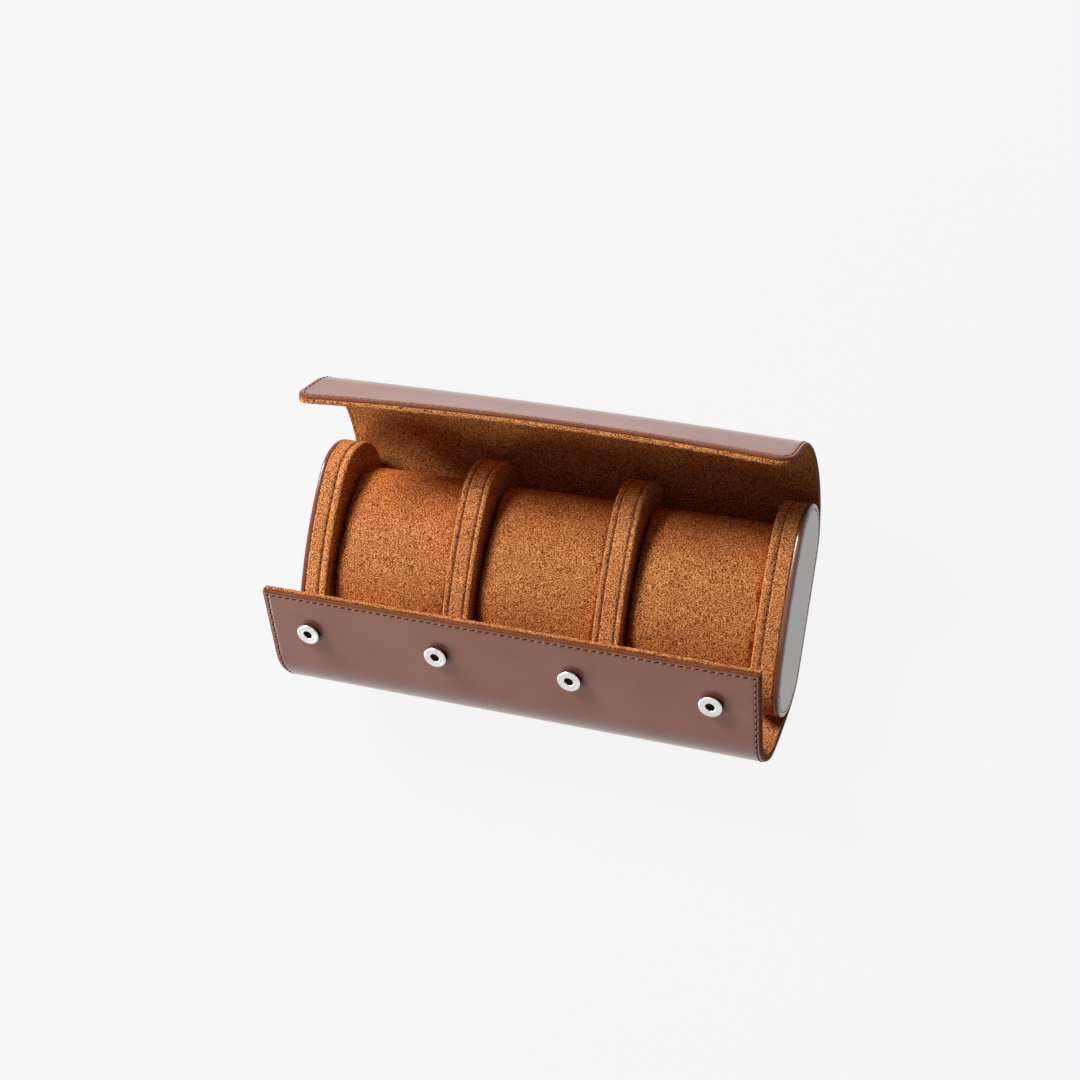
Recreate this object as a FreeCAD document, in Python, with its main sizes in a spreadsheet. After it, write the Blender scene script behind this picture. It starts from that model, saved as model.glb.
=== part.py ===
import FreeCAD, Part
import math
import os

# Watch roll: a leather wrap lined with suede around an oval tray with three watch pillows.
# X runs along the roll, +Y towards the lid, +Z up. The roll lies open on its flat back.
# The origin is on the floor, under the middle of the tray.

doc = FreeCAD.newDocument("watch_roll")
sheet = doc.addObject("Spreadsheet::Sheet", "Sizes")
V = FreeCAD.Vector

# Driving dimensions in millimetres, angles in degrees
SIZES = [
    ("tray_length", 200.8),
    ("oval_span", 82.6),
    ("oval_depth", 40.0),
    ("end_round", 19.0),
    ("cap_thickness", 11.2),
    ("divider_thickness", 10.5),
    ("end_disc_edge", 2.3),
    ("end_disc_round", 0.7),
    ("suede", 0.8),
    ("cap_welt", 3.2),
    ("divider_welt", 2.1),
    ("welt_round", 1.1),
    ("seam_gap", 0.3),
    ("leather", 1.2),
    ("stiffener", 1.0),
    ("lining", 0.8),
    ("wrap_inset", 0.4),
    ("hug_clearance", 0.3),
    ("rear_hug_angle", 32.0),
    ("front_hug_angle", 45.0),
    ("rear_wall_radius", 60.0),
    ("rear_wall_angle", 51.5),
    ("lid_bend_radius", 24.0),
    ("lid_bend_angle", 29.0),
    ("lid_straight", 18.0),
    ("lid_corner", 8.0),
    ("front_wall_radius", 168.0),
    ("front_wall_angle", 8.0),
    ("flap_bend_radius", 22.0),
    ("flap_bend_angle", 87.5),
    ("flap_straight", 32.0),
    ("flap_corner", 1.0),
    ("snap_spacing", 54.4),
    ("socket_from_edge", 17.0),
    ("socket_diameter", 9.2),
    ("socket_height", 2.5),
    ("socket_hole", 3.6),
    ("socket_floor", 0.5),
    ("stud_from_edge", 8.0),
    ("stud_flange", 8.4),
    ("stud_flange_thickness", 0.7),
    ("stud_post", 2.8),
    ("stud_post_height", 1.6),
    ("rivet_head", 7.0),
    ("rivet_head_thickness", 0.5),
    ("rivet_shank", 2.6),
    ("rivet_clearance", 0.1),
    ("pillow_gap", 0.7),
    ("pillow_seat", 0.3),
    ("pillow_end_inset", 7.9),
    ("pillow_drop", 6.2),
    ("pillow_round", 15.0),
    ("pillow_side_draw", 1.9),
    ("pillow_crown", 0.8),
    ("pillow_skin", 1.2),
]
for row, (alias, value) in enumerate(SIZES, start=1):
    sheet.set("A%d" % row, alias)
    sheet.set("B%d" % row, str(value))
    sheet.setAlias("B%d" % row, alias)
doc.recompute()


def size(alias):
    return float(sheet.get(alias))


# Values that follow from the driving dimensions
wrap_thickness = size("leather") + size("stiffener") + size("lining")
half_flat = size("oval_span") / 2 - size("end_round")
hug_radius = size("end_round") + wrap_thickness + size("hug_clearance")
slot_width = (size("tray_length") - 2 * size("cap_thickness") - 2 * size("divider_thickness")) / 3
pillow_middle = slot_width + size("divider_thickness")

# The wrap's outer face as chains of tangent pieces, from the flat back outwards
REAR_CHAIN = [
    ("arc", hug_radius, size("rear_hug_angle")),
    ("arc", size("rear_wall_radius"), size("rear_wall_angle")),
    ("arc", size("lid_bend_radius"), size("lid_bend_angle")),
    ("line", size("lid_straight")),
]
FRONT_CHAIN = [
    ("arc", hug_radius, size("front_hug_angle")),
    ("arc", size("front_wall_radius"), size("front_wall_angle")),
    ("arc", size("flap_bend_radius"), size("flap_bend_angle")),
    ("line", size("flap_straight")),
]
REAR, FRONT = 1, -1


def chain_states(chain):
    """Point and heading at the start of every piece of a chain, and at its end, on the +Y side."""
    point, heading = V(half_flat, 0, 0), 0.0
    states = [(point, heading)]
    for piece in chain:
        if piece[0] == "line":
            step = V(math.cos(heading), math.sin(heading), 0)
            point = point + step * piece[1]
        else:
            radius, turn = piece[1], math.radians(piece[2])
            inward = V(-math.sin(heading), math.cos(heading), 0)
            centre = point + inward * radius
            heading = heading + turn
            inward = V(-math.sin(heading), math.cos(heading), 0)
            point = centre - inward * radius
        states.append((point, heading))
    return states


def inset_point(state, depth):
    point, heading = state
    return point + V(-math.sin(heading), math.cos(heading), 0) * depth


def middle_state(state, piece):
    """State half way along an arc piece."""
    point, heading = state
    inward = V(-math.sin(heading), math.cos(heading), 0)
    centre = point + inward * piece[1]
    heading = heading + math.radians(piece[2]) / 2
    inward = V(-math.sin(heading), math.cos(heading), 0)
    return (centre - inward * piece[1], heading)


def on_side(side, point):
    return V(side * point.x, point.y, 0)


def chain_edges(side, chain, first, last, depth):
    """Edges of the wrap's face at a depth below its outer face, for the pieces first to last."""
    states = chain_states(chain)
    edges = []
    for index in range(first, last + 1):
        start = on_side(side, inset_point(states[index], depth))
        end = on_side(side, inset_point(states[index + 1], depth))
        if chain[index][0] == "line":
            edges.append(Part.LineSegment(start, end))
        else:
            middle = on_side(side, inset_point(middle_state(states[index], chain[index]), depth))
            edges.append(Part.Arc(start, middle, end))
    return edges


def strip_profile(side, chain, first, last, outer, inner):
    """Closed outline of one layer of the wrap, between two depths below the outer face."""
    states = chain_states(chain)
    edges = chain_edges(side, chain, first, last, outer)
    edges += chain_edges(side, chain, first, last, inner)
    for index in (first, last + 1):
        a = on_side(side, inset_point(states[index], outer))
        b = on_side(side, inset_point(states[index], inner))
        edges.append(Part.LineSegment(a, b))
    return edges


def back_profile(outer, inner):
    """Closed outline of one layer of the wrap's back: the flat and the two parts that hug the tray."""
    edges = []
    for depth in (outer, inner):
        edges += chain_edges(REAR, REAR_CHAIN, 0, 0, depth)
        edges += chain_edges(FRONT, FRONT_CHAIN, 0, 0, depth)
        edges.append(Part.LineSegment(V(-half_flat, depth, 0), V(half_flat, depth, 0)))
    for side, chain in ((REAR, REAR_CHAIN), (FRONT, FRONT_CHAIN)):
        state = chain_states(chain)[1]
        a = on_side(side, inset_point(state, outer))
        b = on_side(side, inset_point(state, inner))
        edges.append(Part.LineSegment(a, b))
    return edges


def oval_profile(half_span, depth, end_round, floor, inset):
    """Oval with a flat back at height floor, round ends and a crowned front, drawn in by inset."""
    reach = half_span - end_round
    rise = depth - end_round
    crown = (reach ** 2 + rise ** 2 - end_round ** 2) / (2 * (rise - end_round))
    end_z = floor + end_round
    crown_z = floor + depth - crown
    lean = math.atan2(end_z - crown_z, reach)
    small, large = end_round - inset, crown - inset
    low = [V(s * reach, floor + inset, 0) for s in (1, -1)]
    mid_turn = (lean - math.pi / 2) / 2
    tip_y, tip_z = small * math.cos(mid_turn), small * math.sin(mid_turn)
    tip = [V(s * (reach + tip_y), end_z + tip_z, 0) for s in (1, -1)]
    high_y, high_z = small * math.cos(lean), small * math.sin(lean)
    high = [V(s * (reach + high_y), end_z + high_z, 0) for s in (1, -1)]
    top = V(0, crown_z + large, 0)
    return [
        Part.LineSegment(low[1], low[0]),
        Part.Arc(low[0], tip[0], high[0]),
        Part.Arc(high[0], top, high[1]),
        Part.Arc(high[1], tip[1], low[1]),
    ]


def tray_oval(inset):
    return oval_profile(
        size("oval_span") / 2, size("oval_depth"), size("end_round"), wrap_thickness, inset
    )


# Steps that every body uses
nodes = []


def new_body(name):
    body = doc.addObject("PartDesign::Body", name)
    body.Label = name
    nodes.append(body)
    return body


def origin_plane(body, role):
    return next(f for f in body.Origin.OriginFeatures if f.Role == role)


def cross_sketch(body, name, edges, x_rule):
    """Sketch of a cross-section, at the X that the rule gives."""
    sketch = body.newObject("Sketcher::SketchObject", name)
    sketch.AttachmentSupport = [(origin_plane(body, "YZ_Plane"), "")]
    sketch.MapMode = "FlatFace"
    sketch.setExpression("AttachmentOffset.Base.z", x_rule)
    sketch.addGeometry(edges, False)
    return sketch


def pad_along(body, name, edges, x_rule, length_rule):
    """Cross-section drawn out along +X from one rule's X by another rule's length."""
    sketch = cross_sketch(body, name + "_outline", edges, x_rule)
    pad = body.newObject("PartDesign::Pad", name + "_pad")
    pad.Profile = sketch
    pad.setExpression("Length", length_rule)
    doc.recompute()
    return pad


def shrunk(before, after):
    if after.Shape.Volume >= before.Shape.Volume - 1e-6:
        raise ValueError("%s took nothing away" % after.Label)
    return after


def cut_sketch(body, name, y, z, lean, circles):
    """Sketch on a plane that leans about X, with circles given as (x, radius)."""
    sketch = body.newObject("Sketcher::SketchObject", name)
    sketch.AttachmentSupport = [(origin_plane(body, "XY_Plane"), "")]
    sketch.MapMode = "FlatFace"
    sketch.AttachmentOffset = FreeCAD.Placement(V(0, y, z), FreeCAD.Rotation(V(1, 0, 0), lean))
    for x, radius in circles:
        sketch.addGeometry(Part.Circle(V(x, 0, 0), V(0, 0, 1), radius), False)
    return sketch


def round_edges(body, base, name, rule, wanted):
    """Fillet of the edges that the test picks, with the radius bound to a rule."""
    names = ["Edge%d" % (i + 1) for i, e in enumerate(base.Shape.Edges) if wanted(e)]
    if not names:
        raise ValueError("%s found no edge" % name)
    fillet = body.newObject("PartDesign::Fillet", name)
    fillet.Base = (base, names)
    fillet.setExpression("Radius", rule)
    doc.recompute()
    return fillet


# Wrap: leather outside, stiffener board, suede lining, in three stiff panels and two folds
LEATHER = (0.0, size("leather"))
BOARD = (size("leather"), size("leather") + size("stiffener"))
LINING = (size("leather") + size("stiffener"), wrap_thickness)
FOLD_LINING = (size("leather"), wrap_thickness)
WRAP_START = "-(Sizes.tray_length / 2 - Sizes.wrap_inset)"
WRAP_RULE = "Sizes.tray_length - 2 * Sizes.wrap_inset"
wrap_half = size("tray_length") / 2 - size("wrap_inset")


def flat_panel_body(name, profile):
    body = new_body(name)
    pad_along(body, name, profile, WRAP_START, WRAP_RULE)
    return body


flat_panel_body("wrap_back_leather", back_profile(*LEATHER))
flat_panel_body("wrap_back_board", back_profile(*BOARD))
flat_panel_body("wrap_back_lining", back_profile(*LINING))
flat_panel_body("rear_fold_leather", strip_profile(REAR, REAR_CHAIN, 1, 1, *LEATHER))
flat_panel_body("rear_fold_lining", strip_profile(REAR, REAR_CHAIN, 1, 1, *FOLD_LINING))
flat_panel_body("front_fold_leather", strip_profile(FRONT, FRONT_CHAIN, 1, 1, *LEATHER))
flat_panel_body("front_fold_lining", strip_profile(FRONT, FRONT_CHAIN, 1, 1, *FOLD_LINING))


def across_thickness(side, chain):
    """Test for the four short edges at a panel's free corners."""
    end = chain_states(chain)[-1]
    tip = on_side(side, inset_point(end, wrap_thickness / 2))

    def wanted(edge):
        middle = edge.CenterOfMass
        near = math.hypot(middle.y - tip.x, middle.z - tip.y) < wrap_thickness
        return near and abs(abs(middle.x) - wrap_half) < 1e-3

    return wanted


def end_panel(name, side, chain, layer, corner_alias):
    """Stiff end panel of the wrap with its two free corners rounded."""
    body = new_body(name)
    pad = pad_along(body, name, strip_profile(side, chain, 2, 3, *layer), WRAP_START, WRAP_RULE)
    rounding = round_edges(
        body, pad, name + "_corners", "Sizes." + corner_alias, across_thickness(side, chain)
    )
    return body, rounding


def snap_spots(hole):
    return [((i - 1.5) * size("snap_spacing"), hole / 2) for i in range(4)]


def panel_frame(side, chain, from_edge, depth):
    """Point on a panel's straight end and the lean that faces in from the lid or out from the flap."""
    point, heading = chain_states(chain)[-1]
    back = V(math.cos(heading), math.sin(heading), 0) * from_edge
    spot = on_side(side, inset_point((point - back, heading), depth))
    turn = math.degrees(heading)
    lean = turn if side == REAR else 180 - turn
    return spot.x, spot.y, lean


def snap_holes(body, base, name, place, hole):
    """Four through holes square to a panel."""
    y, z, lean = place
    sketch = cut_sketch(body, name + "_spots", y, z, lean, snap_spots(hole))
    pocket = body.newObject("PartDesign::Pocket", name)
    pocket.Profile = sketch
    pocket.Type = "ThroughAll"
    pocket.Midplane = True
    doc.recompute()
    return shrunk(base, pocket)


def snap_recesses(body, base, name, place, width):
    """Four shallow recesses for the rivet heads."""
    y, z, lean = place
    sketch = cut_sketch(body, name + "_spots", y, z, lean, snap_spots(width))
    pocket = body.newObject("PartDesign::Pocket", name)
    pocket.Profile = sketch
    pocket.setExpression("Length", "Sizes.rivet_head_thickness")
    pocket.Reversed = True
    doc.recompute()
    return shrunk(base, pocket)


shank_hole = size("rivet_shank") + 2 * size("rivet_clearance")
head_recess = size("rivet_head") + 2 * size("rivet_clearance")
board_top, board_floor = BOARD[0], BOARD[1]

# Lid: the studs are riveted through the board and lining, under the leather
lid_leather, _ = end_panel("lid_leather", REAR, REAR_CHAIN, LEATHER, "lid_corner")
lid_board, lid_board_cut = end_panel("lid_board", REAR, REAR_CHAIN, BOARD, "lid_corner")
lid_outer_board = panel_frame(REAR, REAR_CHAIN, size("stud_from_edge"), board_top)
lid_board_cut = snap_holes(lid_board, lid_board_cut, "lid_board_holes", lid_outer_board, shank_hole)
snap_recesses(lid_board, lid_board_cut, "lid_board_recesses", lid_outer_board, head_recess)
lid_lining, lid_lining_cut = end_panel("lid_lining", REAR, REAR_CHAIN, LINING, "lid_corner")
snap_holes(lid_lining, lid_lining_cut, "lid_lining_holes", lid_outer_board, shank_hole)

# Front flap: the sockets are riveted through the leather and board, under the lining
flap_leather, flap_leather_cut = end_panel(
    "front_flap_leather", FRONT, FRONT_CHAIN, LEATHER, "flap_corner"
)
flap_inner_board = panel_frame(FRONT, FRONT_CHAIN, size("socket_from_edge"), board_floor)
snap_holes(flap_leather, flap_leather_cut, "flap_leather_holes", flap_inner_board, shank_hole)
flap_board, flap_board_cut = end_panel(
    "front_flap_board", FRONT, FRONT_CHAIN, BOARD, "flap_corner"
)
flap_board_cut = snap_holes(
    flap_board, flap_board_cut, "flap_board_holes", flap_inner_board, shank_hole
)
snap_recesses(flap_board, flap_board_cut, "flap_board_recesses", flap_inner_board, head_recess)
end_panel("front_flap_lining", FRONT, FRONT_CHAIN, LINING, "flap_corner")


# Snap fasteners: each kind is one row of four turned pieces
def turned_row(name, profile, place):
    """Four turned pieces along X. Their own Z is square to the panel they sit on."""
    body = new_body(name)
    sketch = body.newObject("Sketcher::SketchObject", name + "_half")
    sketch.AttachmentSupport = [(origin_plane(body, "XZ_Plane"), "")]
    sketch.MapMode = "FlatFace"
    sketch.setExpression("AttachmentOffset.Base.x", "-1.5 * Sizes.snap_spacing")
    points = [V(r, h, 0) for r, h in profile]
    for a, b in zip(points, points[1:] + points[:1]):
        sketch.addGeometry(Part.LineSegment(a, b), False)
    turned = body.newObject("PartDesign::Revolution", name + "_turned")
    turned.Profile = sketch
    turned.ReferenceAxis = (sketch, ["V_Axis"])
    turned.Angle = 360
    doc.recompute()
    row = body.newObject("PartDesign::LinearPattern", name + "_row")
    row.Originals = [turned]
    row.Direction = (origin_plane(body, "X_Axis"), [""])
    row.setExpression("Length", "3 * Sizes.snap_spacing")
    row.Occurrences = 4
    body.Tip = row
    y, z, lean = place
    body.Placement = FreeCAD.Placement(V(0, y, z), FreeCAD.Rotation(V(1, 0, 0), lean))
    doc.recompute()
    return body


edge_break = 0.4
socket_rim = size("socket_diameter") / 2
socket_top = size("socket_height")
socket_bore = size("socket_hole") / 2
socket_profile = [
    (0, 0),
    (socket_rim - edge_break, 0),
    (socket_rim - edge_break, socket_top / 3),
    (socket_rim, socket_top / 2),
    (socket_rim, socket_top - edge_break),
    (socket_rim - edge_break, socket_top),
    (socket_bore + edge_break, socket_top),
    (socket_bore, socket_top - edge_break),
    (socket_bore, size("socket_floor")),
    (0, size("socket_floor")),
]
turned_row(
    "snap_sockets",
    socket_profile,
    panel_frame(FRONT, FRONT_CHAIN, size("socket_from_edge"), 0.0),
)

flange_top = size("stud_flange_thickness")
post_top = flange_top + size("stud_post_height")
post_edge = size("stud_post") / 2
stud_profile = [
    (0, 0),
    (size("stud_flange") / 2, 0),
    (size("stud_flange") / 2 - edge_break / 2, flange_top),
    (post_edge - edge_break / 2, flange_top),
    (post_edge - edge_break / 2, flange_top + edge_break),
    (post_edge, (flange_top + post_top) / 2),
    (post_edge, post_top - edge_break),
    (post_edge - edge_break, post_top),
    (0, post_top),
]
lid_lining_face = panel_frame(REAR, REAR_CHAIN, size("stud_from_edge"), wrap_thickness)
turned_row("snap_studs", stud_profile, lid_lining_face)

head_edge = size("rivet_head") / 2
head_top = size("rivet_head_thickness")
shank_edge = size("rivet_shank") / 2
stud_rivet_top = size("stiffener") + size("lining")
stud_rivet_profile = [
    (0, 0),
    (head_edge, 0),
    (head_edge, head_top),
    (shank_edge, head_top),
    (shank_edge, stud_rivet_top),
    (0, stud_rivet_top),
]
turned_row("snap_stud_rivets", stud_rivet_profile, lid_outer_board)

socket_rivet_top = size("stiffener") + size("leather")
socket_rivet_profile = [(r, min(h, socket_rivet_top)) for r, h in stud_rivet_profile]
socket_rivet_profile[4] = (shank_edge, socket_rivet_top)
socket_rivet_profile[5] = (0, socket_rivet_top)
turned_row("snap_socket_rivets", socket_rivet_profile, flap_inner_board)


# Tray: two end caps and two dividers, all cut to one oval
def span(side, near_rule, far_rule):
    """X start and length rules of a slab that lies between two distances from the middle."""
    length_rule = "(%s) - (%s)" % (far_rule, near_rule)
    if side > 0:
        return near_rule, length_rule
    return "-(%s)" % far_rule, length_rule


def slab(name, inset, side, near_rule, far_rule):
    """Plain oval block."""
    body = new_body(name)
    pad_along(body, name, tray_oval(inset), *span(side, near_rule, far_rule))


def band(name, side, near_rule, far_rule):
    """Suede band round the edge of a cap or divider."""
    body = new_body(name)
    edges = tray_oval(0) + tray_oval(size("suede"))
    pad_along(body, name, edges, *span(side, near_rule, far_rule))


def dish(name, side, near_rule, far_rule, face_far, skin_alias, round_alias):
    """Oval face with its edge turned over. The face is at the far distance, or else at the near one."""
    body = new_body(name)
    pad = pad_along(body, name, tray_oval(0), *span(side, near_rule, far_rule))
    mouth_rule = near_rule if face_far else far_rule
    mouth = cross_sketch(
        body, name + "_mouth", tray_oval(size(skin_alias)), "%d * (%s)" % (side, mouth_rule)
    )
    hollow = body.newObject("PartDesign::Pocket", name + "_hollow")
    hollow.Profile = mouth
    hollow.setExpression("Length", "(%s) - (%s) - Sizes.%s" % (far_rule, near_rule, skin_alias))
    hollow.Reversed = (side > 0) == face_far
    doc.recompute()
    shrunk(pad, hollow)
    box = pad.Shape.BoundBox
    face_x = box.XMax if (side > 0) == face_far else box.XMin
    round_edges(
        body,
        hollow,
        name + "_edge",
        "Sizes." + round_alias,
        lambda edge: all(abs(v.X - face_x) < 1e-6 for v in edge.Vertexes),
    )


CAP_INNER = "Sizes.tray_length / 2 - Sizes.cap_thickness"
CAP_SKIN = CAP_INNER + " + Sizes.suede"
CAP_SEAM = CAP_INNER + " + Sizes.cap_welt"
DISC_INNER = "Sizes.tray_length / 2 - Sizes.end_disc_edge"
DISC_BOARD = "Sizes.tray_length / 2 - Sizes.leather"
CAP_OUTER = "Sizes.tray_length / 2"
for side, hand in ((-1, "left"), (1, "right")):
    # Outer disc: leather turned over the edge of a board
    dish(hand + "_end_leather", side, DISC_INNER, CAP_OUTER, True, "leather", "end_disc_round")
    slab(hand + "_end_board", size("leather"), side, DISC_INNER, DISC_BOARD)
    # Inner side: a suede face turned over the rim and sewn to the rim's band
    dish(hand + "_end_suede_face", side, CAP_INNER, CAP_SEAM, False, "suede", "welt_round")
    band(hand + "_end_suede_rim", side, CAP_SEAM + " + Sizes.seam_gap", DISC_INNER)
    slab(hand + "_end_pad", size("suede"), side, CAP_SKIN, DISC_INNER)

SLOT = "(Sizes.tray_length - 2 * Sizes.cap_thickness - 2 * Sizes.divider_thickness) / 3"
DIV_INNER = SLOT + " / 2"
DIV_OUTER = DIV_INNER + " + Sizes.divider_thickness"
DIV_SEAMS = (DIV_INNER + " + Sizes.divider_welt", DIV_OUTER + " - Sizes.divider_welt")
for side, hand in ((-1, "left"), (1, "right")):
    # Two suede faces turned over the rim, with a band sewn between them
    near_seam, far_seam = DIV_SEAMS
    dish(hand + "_divider_inner_face", side, DIV_INNER, near_seam, False, "suede", "welt_round")
    dish(hand + "_divider_outer_face", side, far_seam, DIV_OUTER, True, "suede", "welt_round")
    band(
        hand + "_divider_suede_rim",
        side,
        near_seam + " + Sizes.seam_gap",
        far_seam + " - Sizes.seam_gap",
    )
    inner_skin = DIV_INNER + " + Sizes.suede"
    outer_skin = DIV_OUTER + " - Sizes.suede"
    slab(hand + "_divider_pad", size("suede"), side, inner_skin, outer_skin)


# Pillows: a foam block in a sewn suede cover, crowned in the middle and drawn in at both sides
pillow_half_width = slot_width / 2 - size("pillow_gap")
pillow_half_span = size("oval_span") / 2 - size("pillow_end_inset")
pillow_floor = wrap_thickness + size("pillow_seat")
pillow_depth = size("oval_depth") - size("pillow_drop") - size("pillow_seat")
PILLOW_SECTIONS = 9


def pillow_inset(share):
    """How far a section is drawn in, at a share of the way from the middle to a side."""
    crown = size("pillow_crown") * share ** 2
    rounding = (size("pillow_side_draw") - size("pillow_crown")) * (
        1 - math.sqrt(max(0.0, 1 - share ** 8))
    )
    return crown + rounding


def pillow_form(name, middle, skin):
    """Lofted pillow; skin draws the whole form in for the foam under the cover."""
    sections = []
    body = doc.addObject("PartDesign::Body", name)
    body.Label = name
    for i in range(PILLOW_SECTIONS):
        share = math.sin((2 * i / (PILLOW_SECTIONS - 1) - 1) * math.pi / 2)
        x = middle + share * (pillow_half_width - skin)
        inset = pillow_inset(abs(share)) + skin
        edges = oval_profile(
            pillow_half_span, pillow_depth, size("pillow_round"), pillow_floor, inset
        )
        section = body.newObject("Sketcher::SketchObject", "%s_section_%d" % (name, i + 1))
        section.AttachmentSupport = [(origin_plane(body, "YZ_Plane"), "")]
        section.MapMode = "FlatFace"
        section.AttachmentOffset = FreeCAD.Placement(V(0, 0, x), FreeCAD.Rotation())
        section.addGeometry(edges, False)
        sections.append(section)
    loft = body.newObject("PartDesign::AdditiveLoft", name + "_loft")
    loft.Profile = sections[0]
    loft.Sections = sections[1:]
    loft.Ruled = True
    doc.recompute()
    return body


for hand, middle in (("left", -pillow_middle), ("centre", 0.0), ("right", pillow_middle)):
    whole = pillow_form(hand + "_pillow_form", middle, 0.0)
    foam = pillow_form(hand + "_pillow_foam", middle, size("pillow_skin"))
    nodes.append(foam)
    cover = doc.addObject("Part::Cut", hand + "_pillow_cover")
    cover.Label = hand + "_pillow_cover"
    cover.Base = whole
    cover.Tool = foam
    nodes.append(cover)
doc.recompute()

# Every object is checked, then each piece goes to its own file
for obj in doc.Objects:
    if "Invalid" in obj.State or "Error" in obj.State:
        raise ValueError("%s did not build: %s" % (obj.Label, obj.State))
os.makedirs("parts", exist_ok=True)
for node in nodes:
    shape = node.Shape
    if shape.isNull() or not shape.isValid():
        raise ValueError("%s has no valid shape" % node.Label)
    shape.exportStep("parts/%s.step" % node.Label)
    box = shape.BoundBox
    print(
        "%-28s %d solids %9.1f mm3  x %.1f..%.1f y %.1f..%.1f z %.1f..%.1f"
        % (
            node.Label,
            len(shape.Solids),
            shape.Volume,
            box.XMin,
            box.XMax,
            box.YMin,
            box.YMax,
            box.ZMin,
            box.ZMax,
        )
    )
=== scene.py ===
import math

import bmesh
import bpy
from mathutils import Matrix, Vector, noise


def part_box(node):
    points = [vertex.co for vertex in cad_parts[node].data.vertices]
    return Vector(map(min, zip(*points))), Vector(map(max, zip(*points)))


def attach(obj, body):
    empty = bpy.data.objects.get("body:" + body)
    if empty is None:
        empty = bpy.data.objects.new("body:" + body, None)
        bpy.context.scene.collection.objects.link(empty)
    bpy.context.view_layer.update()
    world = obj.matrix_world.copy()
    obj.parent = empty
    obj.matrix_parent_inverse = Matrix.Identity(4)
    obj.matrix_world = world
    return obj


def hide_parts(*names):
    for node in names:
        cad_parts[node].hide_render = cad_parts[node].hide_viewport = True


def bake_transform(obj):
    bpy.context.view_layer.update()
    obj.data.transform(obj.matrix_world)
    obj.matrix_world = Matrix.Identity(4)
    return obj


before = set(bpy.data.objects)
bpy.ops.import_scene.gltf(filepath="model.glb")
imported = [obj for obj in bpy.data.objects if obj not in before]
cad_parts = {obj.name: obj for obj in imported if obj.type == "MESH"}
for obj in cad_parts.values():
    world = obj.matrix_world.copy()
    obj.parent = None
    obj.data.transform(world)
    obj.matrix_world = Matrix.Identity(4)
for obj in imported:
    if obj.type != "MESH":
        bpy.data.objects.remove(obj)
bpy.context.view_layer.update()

scene = bpy.context.scene
scene.view_settings.view_transform = "Standard"

# Camera: it looks down on the open roll from above its right-hand end.
# The lens is given in pixels of the square photo.
PHOTO_SIDE = 1080
FOCAL_PIXELS = 1736.9
CAMERA_PLACE = (0.2210, -0.0014, 0.6824)
CAMERA_TURNS = (4.18, 18.69, 9.56)
camera_lens = bpy.data.cameras.new("camera")
camera_lens.angle = 2 * math.atan(PHOTO_SIDE / 2 / FOCAL_PIXELS)
camera = bpy.data.objects.new("camera", camera_lens)
camera.location = CAMERA_PLACE
camera.rotation_euler = [math.radians(turn) for turn in CAMERA_TURNS]
scene.collection.objects.link(camera)
scene.camera = camera

# Studio: a dim sky that shows white in shiny faces, a soft lamp high behind the roll on its left, and
# a low soft lamp in front on the left. The floor is a plain sheet that looks white and keeps a shadow.
SKY_STRENGTH = 0.10
WHITE_STRENGTH = 0.92
KEY_PLACE = Vector((-1.30, 0.98, 1.40))
KEY_SIDE = 0.75
KEY_POWER = 66.0
FILL_PLACE = Vector((-1.70, -1.25, 0.42))
FILL_SIDE = 1.0
FILL_POWER = 33.0
LAMP_TARGET = Vector((0.0, 0.0, 0.04))
FLOOR_SIDE = 6.0
FLOOR_TONE = (0.35, 0.35, 0.35, 1.0)
FLOOR_WHITE = (0.97, 0.97, 0.97, 1.0)
FLOOR_DROP = 0.0002


def shown_share(tree, low, high):
    """A high value where the eye or a shiny face looks at something, or else a low one."""
    rays = tree.nodes.new("ShaderNodeLightPath")
    shiny = tree.nodes.new("ShaderNodeMath")
    shiny.operation = "MAXIMUM"
    tree.links.new(rays.outputs["Is Glossy Ray"], shiny.inputs[0])
    tree.links.new(rays.outputs["Is Transmission Ray"], shiny.inputs[1])
    watched = tree.nodes.new("ShaderNodeMath")
    watched.operation = "MAXIMUM"
    tree.links.new(rays.outputs["Is Camera Ray"], watched.inputs[0])
    tree.links.new(shiny.outputs[0], watched.inputs[1])
    level = tree.nodes.new("ShaderNodeMapRange")
    level.inputs["To Min"].default_value = low
    level.inputs["To Max"].default_value = high
    tree.links.new(watched.outputs[0], level.inputs["Value"])
    return level.outputs["Result"]


sky = bpy.data.worlds.new("studio_sky")
sky.use_nodes = True
background = sky.node_tree.nodes["Background"]
background.inputs["Color"].default_value = (1.0, 1.0, 1.0, 1.0)
sky.node_tree.links.new(
    shown_share(sky.node_tree, SKY_STRENGTH, WHITE_STRENGTH), background.inputs["Strength"]
)
scene.world = sky

for lamp_name, lamp_place, lamp_side, lamp_power in (
    ("high_lamp", KEY_PLACE, KEY_SIDE, KEY_POWER),
    ("front_lamp", FILL_PLACE, FILL_SIDE, FILL_POWER),
):
    lamp_light = bpy.data.lights.new(lamp_name, "AREA")
    lamp_light.shape = "SQUARE"
    lamp_light.size = lamp_side
    lamp_light.energy = lamp_power
    lamp = bpy.data.objects.new(lamp_name, lamp_light)
    lamp.location = lamp_place
    lamp.rotation_euler = (LAMP_TARGET - lamp_place).to_track_quat("-Z", "Y").to_euler()
    scene.collection.objects.link(lamp)


def new_material(name):
    """Material with its node tree and its main shader."""
    material = bpy.data.materials.new(name)
    material.use_nodes = True
    tree = material.node_tree
    return material, tree, tree.nodes["Principled BSDF"]


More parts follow.
